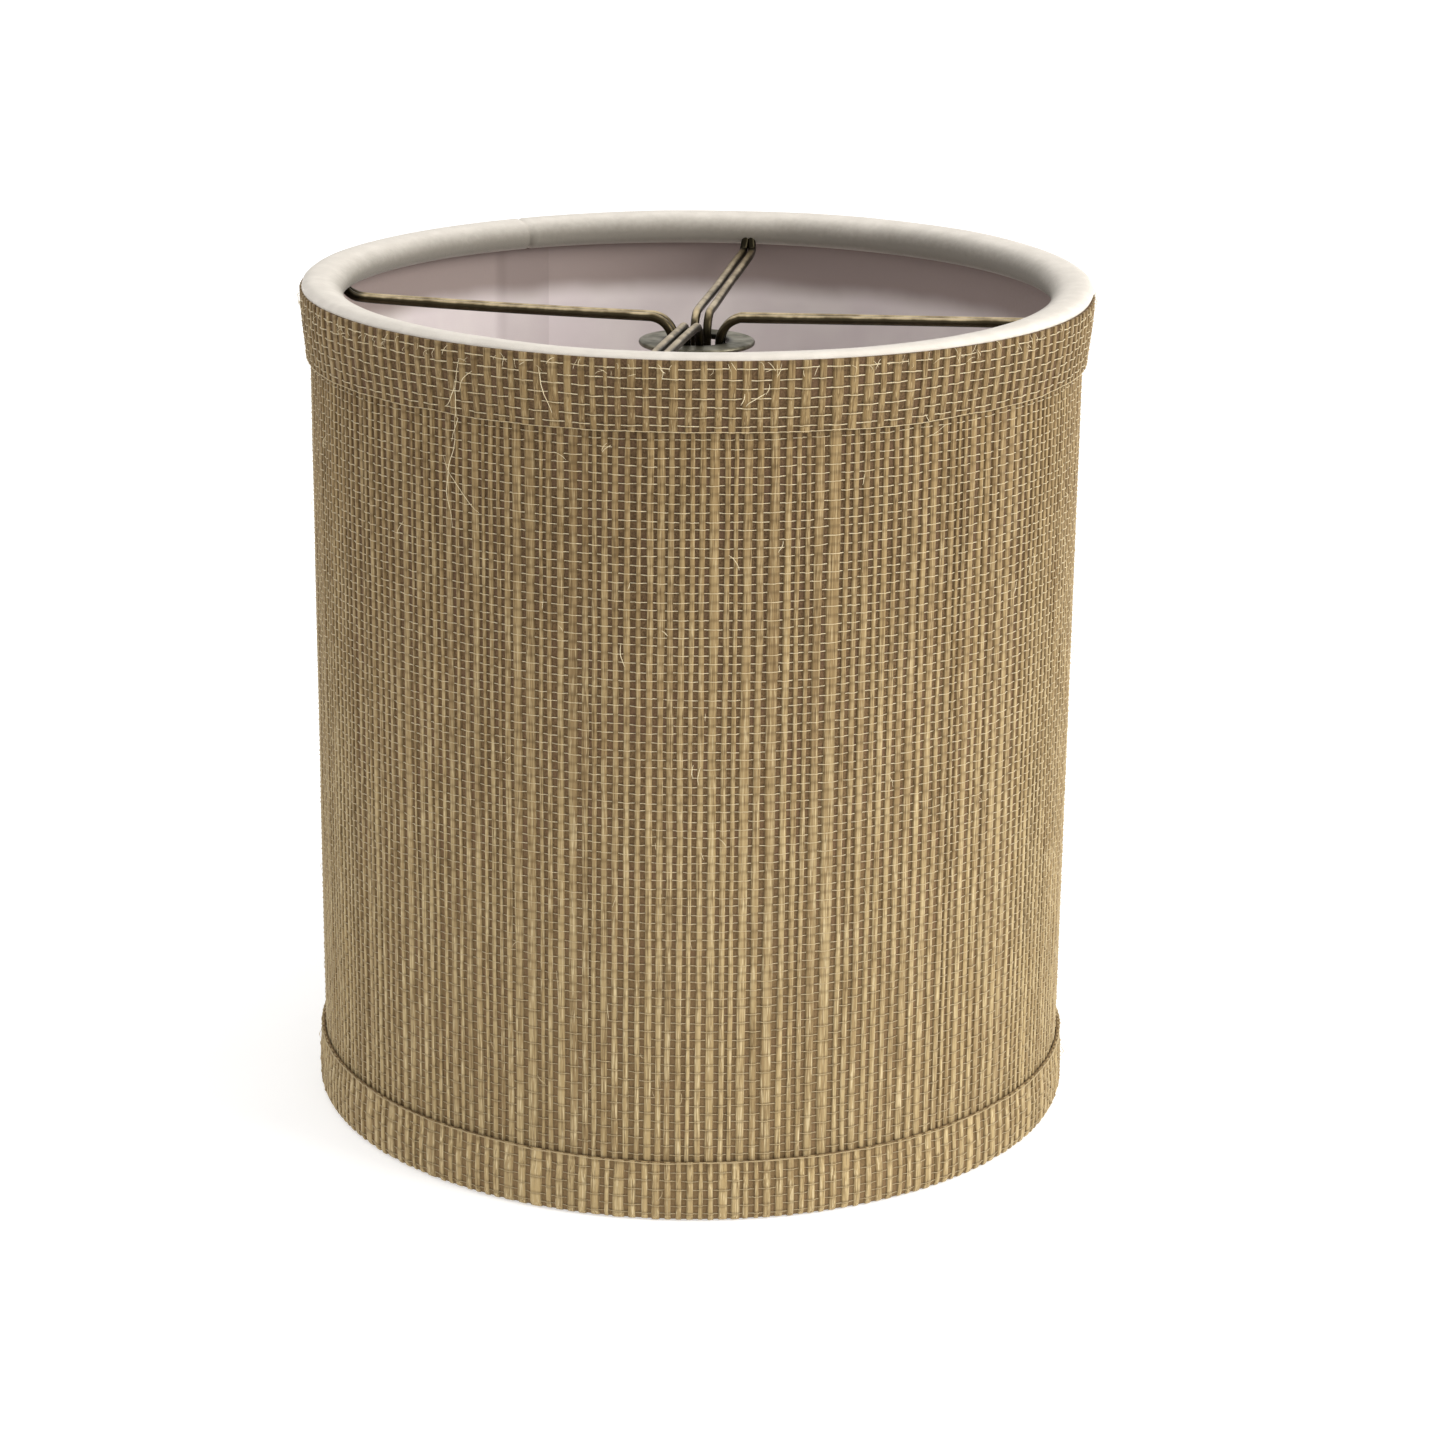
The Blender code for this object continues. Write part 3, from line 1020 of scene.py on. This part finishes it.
def hairpin(seed):
    """One wire of the fitter: in from the ring, down through the washer, round the loop, and back the same way."""
    rng = np.random.default_rng(seed)
    turn = np.linspace(0, TAU, 120)[1:-1]
    z = LOOP_TOP - (LOOP_TOP - LOOP_LOW) * (1 - np.cos(turn)) / 2
    half = np.abs(np.sin(turn / 2))
    side = np.sin(turn) * LOOP_WIDE * half**1.5
    side += np.where(turn < math.pi, 1, -1) * PAIR * np.cos(turn / 2) ** 2
    loop = np.stack([loop_radius(z), side, z], -1)
    leg = [(71.6, 0.30, 162.2), (70.9, 0.50, 161.3), (70.2, 0.75, 160.75), (69.5, 0.88, 160.4), (68.7, 0.94, 160.1)]
    if seed == 2:                                       # this one was bent up before it was welded
        leg = [(70.5, 0.55, 162.9), (70.2, 0.66, 162.2), (69.9, 0.78, 161.4), (69.5, 0.88, 160.6), (68.7, 0.94, 160.1)]
    sway = rng.uniform(-0.25, 0.25, 3)
    rise = (0.6, 0.0, 0.25, 0.0)[seed - 1]
    for share in (0.97, 0.85, 0.7, 0.55, 0.4, 0.25, 0.1):
        u = 9.2 + (67.5 - 9.2) * share
        side = PAIR + (0.94 - PAIR) * share + 0.08 * math.sin(share * 7 + seed)
        up = ARM_Z + rise + (ARM_END_Z - ARM_Z - rise) * share
        leg.append((u, side, up + sway[0] * math.sin(math.pi * share)))
    for i in range(10, -1, -1):
        a = math.radians(90 * i / 10)
        leg.append((NECK_R + BEND - BEND * math.cos(a), PAIR, ARM_Z - BEND + BEND * math.sin(a) + rise * i / 10))
    leg.append((NECK_R, PAIR, 152.4))
    leg.append((NECK_R, PAIR, 151.0))
    leg = np.array(leg)
    back = leg[::-1] * (1, -1, 1)
    return np.concatenate([leg, loop[2:-2], back])


wires = []
for quarter, where in enumerate(("right", "back", "left", "front")):
    line, _ = smooth_path(hairpin(quarter + 1), 420)
    turned = Matrix.Rotation(math.radians(90 * quarter), 3, "Z")
    line = line @ np.array(turned).T
    reach = np.hypot(line[:, 0], line[:, 1])
    # painted shade at the tips, where they go in under the tape, and down the neck inside the washer's hole
    tips = np.clip((reach - 66.5) / 2.2, 0, 1) * (line[:, 2] > 155)
    neck = np.clip((6.3 - reach) / 1.2, 0, 1) * np.clip((157.5 - line[:, 2]) / 3, 0, 1)
    neck *= line[:, 2] > 148
    made = tube(
        f"fitter_wire_{where}", line, WIRE_R, BRASS, 16, painted_shade=np.clip(tips + 0.85 * neck, 0, 1)
    )
    wires.append((made, where, turned))


def washer():
    """A dished stamping with rolled edges and a burr round its hole."""
    low, high = WASHER
    r_out, z0, z1 = high[0], low[2], high[2]
    hole = 6.1
    profile = []
    for a in np.linspace(-90, 90, 9):
        profile.append((r_out - 0.45 + 0.45 * math.cos(math.radians(a)), (z0 + z1) / 2 + (z1 - z0) / 2 * math.sin(math.radians(a))))
    for r in np.linspace(r_out - 1.2, hole + 1.0, 6):
        profile.append((r, z1 - 0.10 * (1 - (r - hole) / (r_out - hole))))
    for a in np.linspace(90, 270, 9):
        profile.append((hole + 0.4 + 0.4 * math.cos(math.radians(a)), (z0 + z1) / 2 - 0.05 + (z1 - z0) / 2 * 1.05 * math.sin(math.radians(a))))
    for r in np.linspace(hole + 1.0, r_out - 1.2, 6):
        profile.append((r, z0 - 0.10 * (1 - (r - hole) / (r_out - hole))))
    profile = np.array(profile)
    turn = TAU * np.arange(128) / 128
    points = np.stack(
        [
            profile[None, :, 0] * np.cos(turn)[:, None],
            profile[None, :, 0] * np.sin(turn)[:, None],
            profile[None, :, 1] + 0 * turn[:, None],
        ],
        -1,
    )
    # painted shade round the hole, where the wires go down into it
    painted_shade = np.broadcast_to(np.clip((hole + 1.6 - profile[:, 0]) / 1.6, 0, 1), (128, len(profile)))
    quads = grid_faces(128, len(profile), wrap_cols=True, wrap_rows=True)
    return build("washer_plate", points, quads, PLATE, {"painted_shade": painted_shade})


washer_plate = washer()

# ---------------------------------------------------------------- loose fibres on the weave
def skin(angle, z):
    """How far out the weave's surface is at this height."""
    if z > TOP_TRIM_Z[0]:
        return float(top_trim_face(z))
    if z < LOW_TRIM_Z[1]:
        return float(low_trim_face(z))
    return CLOTH_R


def strays():
    rng = np.random.default_rng(77)
    lines = []

    def fibre(degrees, z, length, heading, curl, lift, thick, highest=TOP_TRIM_Z[1] - 0.5):
        """One fibre: heading 90 is straight up; curl is how far it turns on its way, in degrees."""
        n = max(int(length / 0.5), 6)
        a, h = math.radians(degrees), z
        points = []
        turn = math.radians(heading)
        for k in range(n):
            share = k / (n - 1)
            out = 0.16 + lift * math.sin(math.pi * min(share * 1.15, 1.0))
            points.append((skin(a, h) + out, a, h))
            turn += math.radians(curl) / n + rng.normal(0, 0.09)
            a += math.cos(turn) * length / n / CLOTH_R
            h += math.sin(turn) * length / n
            h = min(max(h, 1.0), highest)
        lines.append((np.array([(r * math.cos(b), r * math.sin(b), c) for r, b, c in points]), thick))

    # a few that show from the front, then many small ones all round
    for item in (
        (-114, 163, 17, -108, 30, 0.7, 0.075),
        (-116, 152, 22, -84, -12, 0.8, 0.070),
        (-118, 144, 13, -66, 26, 0.5, 0.065),
        (-115, 159, 7, -60, -50, 0.9, 0.070),
        (-112, 161, 6, 215, 40, 0.9, 0.070),
        (-102, 163, 9, -78, 8, 0.5, 0.080),
        (-72, 159.5, 4.6, 205, 25, 0.5, 0.085),
        (-75.2, 157.4, 2.6, 70, 15, 0.6, 0.075),
        (-71.5, 161.2, 2.4, 262, -20, 0.6, 0.065),
        (-80, 90, 4.0, 250, 90, 0.5, 0.070),
        (-81, 88, 3.0, 120, -70, 0.6, 0.070),
        (-91, 113, 5.0, 260, 40, 0.4, 0.060),
        (-75, 127, 4.0, 95, 50, 0.4, 0.060),
        (-48, 149, 6.0, 20, 20, 0.6, 0.045),
        (-56, 60, 5.0, 80, 25, 0.4, 0.050),
        (-100, 40, 9.0, 97, 12, 0.4, 0.055),
        (60, 120, 14, -95, 30, 0.8, 0.050),
        (150, 70, 12, -80, -30, 0.7, 0.050),
    ):
        fibre(*item)
    for _ in range(150):
        fibre(
            rng.uniform(0, 360),
            rng.uniform(2, 163),
            rng.uniform(1.2, 4.2),
            90 + rng.choice([0, 180]) + rng.normal(0, 22),
            rng.normal(0, 50),
            rng.uniform(0.1, 0.55),
            rng.uniform(0.035, 0.07),
        )
    # frayed upper edge of the top band
    for _ in range(260):
        fibre(
            rng.uniform(0, 360),
            rng.uniform(162.2, 163.8),
            rng.uniform(1.0, 2.8),
            90 + rng.normal(0, 32),
            rng.normal(0, 60),
            rng.uniform(0.05, 0.45),
            rng.uniform(0.025, 0.055),
            165.1,
        )
    points, quads, start = [], [], 0
    corner = TAU * np.arange(4) / 4
    for line, thick in lines:
        forward = np.gradient(line, axis=0)
        forward /= np.linalg.norm(forward, axis=1)[:, None]
        out = line * (1, 1, 0)
        out /= np.linalg.norm(out, axis=1)[:, None]
        side = np.cross(forward, out)
        side /= np.linalg.norm(side, axis=1)[:, None]
        size = thick * np.sin(np.linspace(0.25, math.pi - 0.25, len(line))) ** 0.5
        ring = (
            line[:, None]
            + size[:, None, None] * np.cos(corner)[None, :, None] * side[:, None]
            + size[:, None, None] * np.sin(corner)[None, :, None] * out[:, None]
        )
        points.append(ring.reshape(-1, 3))
        quads.append(grid_faces(len(line), 4, start, wrap_cols=True))
        base = start + 4 * (len(line) - 1)
        quads.append(np.array([[start + 3, start + 2, start + 1, start], [base, base + 1, base + 2, base + 3]]))
        start += 4 * len(line)
    return build("loose_fibres", np.concatenate(points), np.concatenate(quads), THREAD)


loose = strays()

# ---------------------------------------------------------------- what rides on what
for made in (cover, top_trim, low_trim):
    paper, reeds, threads, flat = made
    for piece in [paper, reeds] + threads:
        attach(piece, "shade")
for piece in (top_tape, low_tape, liner_sheet, top_hoop, low_hoop, washer_plate, loose):
    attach(piece, "shade")

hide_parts("grasscloth_cover")
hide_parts("top_trim_band")
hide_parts("bottom_trim_band")
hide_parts("top_binding")
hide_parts("bottom_binding")
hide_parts("styrene_liner")
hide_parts("top_ring")
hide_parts("bottom_ring")
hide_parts("clip_washer")
for made, where, turned in wires:
    neck = np.array(turned) @ np.array([NECK_R, 0, 0]) * MM
    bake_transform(made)
    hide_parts(f"fitter_arm_{where}", f"clip_loop_{where}")

# ---------------------------------------------------------------- stage, light and camera
def floor():
    bpy.ops.mesh.primitive_plane_add(size=6.0, location=(0, 0, -0.0002))
    made = bpy.context.object
    made.name = "floor"
    t = Tree("floor_white")
    fine = t.noise(t.place(), 40.0, 2.0)
    colour = t.mix(t.ramp(fine, 0.2, 0.8), (0.70, 0.70, 0.70), (0.72, 0.72, 0.72))
    made.data.materials.append(
        t.finish(
            t.principled(
                Base_Color=colour,
                Roughness=0.9,
                Emission_Color=(1.0, 1.0, 1.0, 1.0),
                Emission_Strength=0.45,
            )
        )
    )


floor()

world = bpy.data.worlds.new("studio")
bpy.context.scene.world = world
world.use_nodes = True
back = world.node_tree.nodes["Background"]
back.inputs["Color"].default_value = (1.0, 1.0, 1.0, 1.0)
sky = world.node_tree.nodes
way = sky.new("ShaderNodeTexCoord")
apart = sky.new("ShaderNodeSeparateXYZ")
fall = sky.new("ShaderNodeMapRange")                # a white backdrop near the horizon, softer above
fall.interpolation_type = "SMOOTHSTEP"
for key, value in (("From Min", 0.19), ("From Max", 0.42), ("To Min", 1.0), ("To Max", 0.82)):
    fall.inputs[key].default_value = value
rise = sky.new("ShaderNodeMapRange")                # brighter overhead, as under a soft box
rise.interpolation_type = "SMOOTHSTEP"
for key, value in (("From Min", 0.60), ("From Max", 0.92), ("To Min", 0.0), ("To Max", 0.36)):
    rise.inputs[key].default_value = value
total = sky.new("ShaderNodeMath")
total.operation = "ADD"
world.node_tree.links.new(way.outputs["Generated"], apart.inputs[0])
world.node_tree.links.new(apart.outputs[2], fall.inputs["Value"])
world.node_tree.links.new(apart.outputs[2], rise.inputs["Value"])
world.node_tree.links.new(fall.outputs[0], total.inputs[0])
world.node_tree.links.new(rise.outputs[0], total.inputs[1])
world.node_tree.links.new(total.outputs[0], back.inputs["Strength"])


def area(name, location, target, size, power, colour=(1, 1, 1)):
    light = bpy.data.lights.new(name, "AREA")
    light.shape = "DISK"
    light.size = size
    light.energy = power
    light.color = colour
    made = bpy.data.objects.new(name, light)
    made.location = location
    made.rotation_mode = "QUATERNION"
    made.rotation_quaternion = (Vector(target) - Vector(location)).to_track_quat("-Z", "Y")
    bpy.context.scene.collection.objects.link(made)
    return made


area("key", (0.95, -0.25, 0.60), (0, 0, 0.08), 0.7, 9.6, (1.0, 0.985, 0.95))

bpy.context.scene.view_settings.view_transform = "Standard"
bpy.context.scene.view_settings.look = "None"

AZIMUTH, ELEVATION, ROLL = math.radians(9.0), math.radians(16.75), math.radians(0.5085)
DISTANCE, TARGET = 0.7074, Vector((0, 0, 0.0823))
back_way = Vector(
    (
        math.sin(AZIMUTH) * math.cos(ELEVATION),
        -math.cos(AZIMUTH) * math.cos(ELEVATION),
        math.sin(ELEVATION),
    )
)
right = Vector((math.cos(AZIMUTH), math.sin(AZIMUTH), 0))
up = back_way.cross(right)
x_axis = right * math.cos(ROLL) + up * math.sin(ROLL)
y_axis = back_way.cross(x_axis)
camera_data = bpy.data.cameras.new("camera")
camera_data.sensor_width = 36.0
camera_data.lens = 3475 / 1445 * 36.0
camera_data.shift_x = 28.76 / 1445
camera_data.shift_y = -35.36 / 1445
camera_data.clip_start, camera_data.clip_end = 0.01, 50
camera = bpy.data.objects.new("camera", camera_data)
camera.matrix_world = Matrix(
    (
        (x_axis.x, y_axis.x, back_way.x, 0),
        (x_axis.y, y_axis.y, back_way.y, 0),
        (x_axis.z, y_axis.z, back_way.z, 0),
        (0, 0, 0, 1),
    )
)
camera.location = TARGET + back_way * DISTANCE
bpy.context.scene.collection.objects.link(camera)
bpy.context.scene.camera = camera
